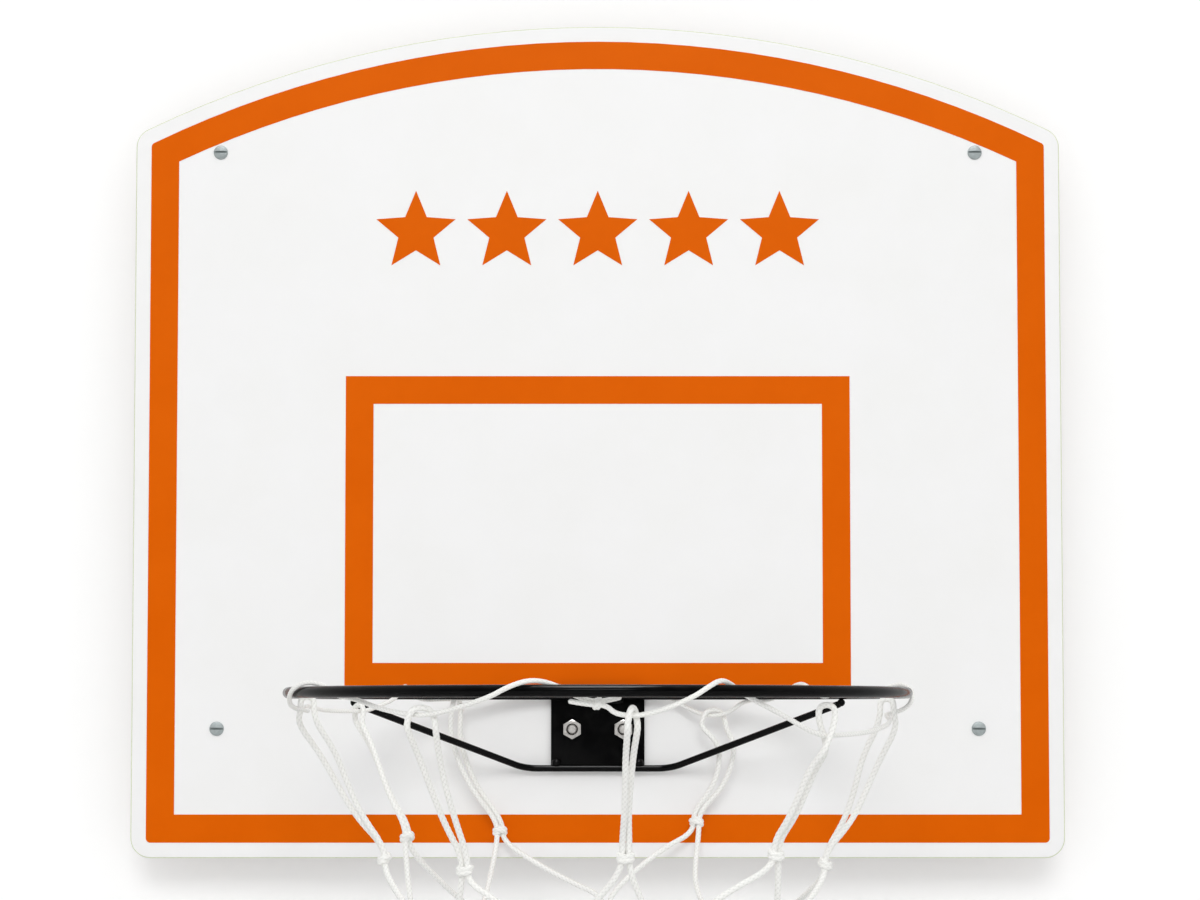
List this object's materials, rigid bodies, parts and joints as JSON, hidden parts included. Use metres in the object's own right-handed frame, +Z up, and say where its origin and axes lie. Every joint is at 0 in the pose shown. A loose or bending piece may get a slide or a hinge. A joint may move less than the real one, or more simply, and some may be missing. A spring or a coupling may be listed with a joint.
{
  "type": "basketball backboard",
  "caption": "Wall-mounted children's basketball backboard: domed panel with printed border and target square, bolted steel hoop on a bent brace rod, and a laced cord net.",
  "frame": {"origin": "middle of the four wall screws, on the panel's rear face", "axes": "+Z up, +Y into the wall, so the playing face looks along -Y and +X is to a player's right"},
  "size_m": [0.6, 0.4016, 0.7659],
  "materials": {
    "panel_white": "white satin melamine film on fibreboard, raw edges",
    "print_orange": "screen-printed orange ink",
    "hoop_black": "gloss black paint over bent rod and welds",
    "zinc": "bright zinc plate",
    "net_white": "braided white cord"
  },
  "bodies": {
    "root": {"arm_weld_left": "hoop_black", "arm_weld_right": "hoop_black", "backboard_panel": "panel_white", "border_print": "print_orange", "brace_rod": "hoop_black", "brace_weld_left": "hoop_black", "brace_weld_right": "hoop_black", "bracket_bolt_left": "zinc", "bracket_bolt_right": "zinc", "bracket_nut_left": "zinc", "bracket_nut_right": "zinc", "bracket_plate": "hoop_black", "lacing_cord": "net_white", "lacing_knot": "net_white", "net_cord_1": "net_white", "net_cord_2": "net_white", "net_cord_3": "net_white", "net_cord_4": "net_white", "net_cord_5": "net_white", "net_cord_6": "net_white", "net_cord_7": "net_white", "net_cord_8": "net_white", "net_knots_row_1": "net_white", "net_knots_row_2": "net_white", "net_knots_row_3": "net_white", "net_knots_row_4": "net_white", "net_knots_row_5": "net_white", "rim_ring": "hoop_black", "rim_weld_lower": "hoop_black", "rim_weld_upper": "hoop_black", "star_print": "print_orange", "target_print": "print_orange", "wall_screw_lower_left": "zinc", "wall_screw_lower_right": "zinc", "wall_screw_upper_left": "zinc", "wall_screw_upper_right": "zinc"}
  },
  "joints": []
}
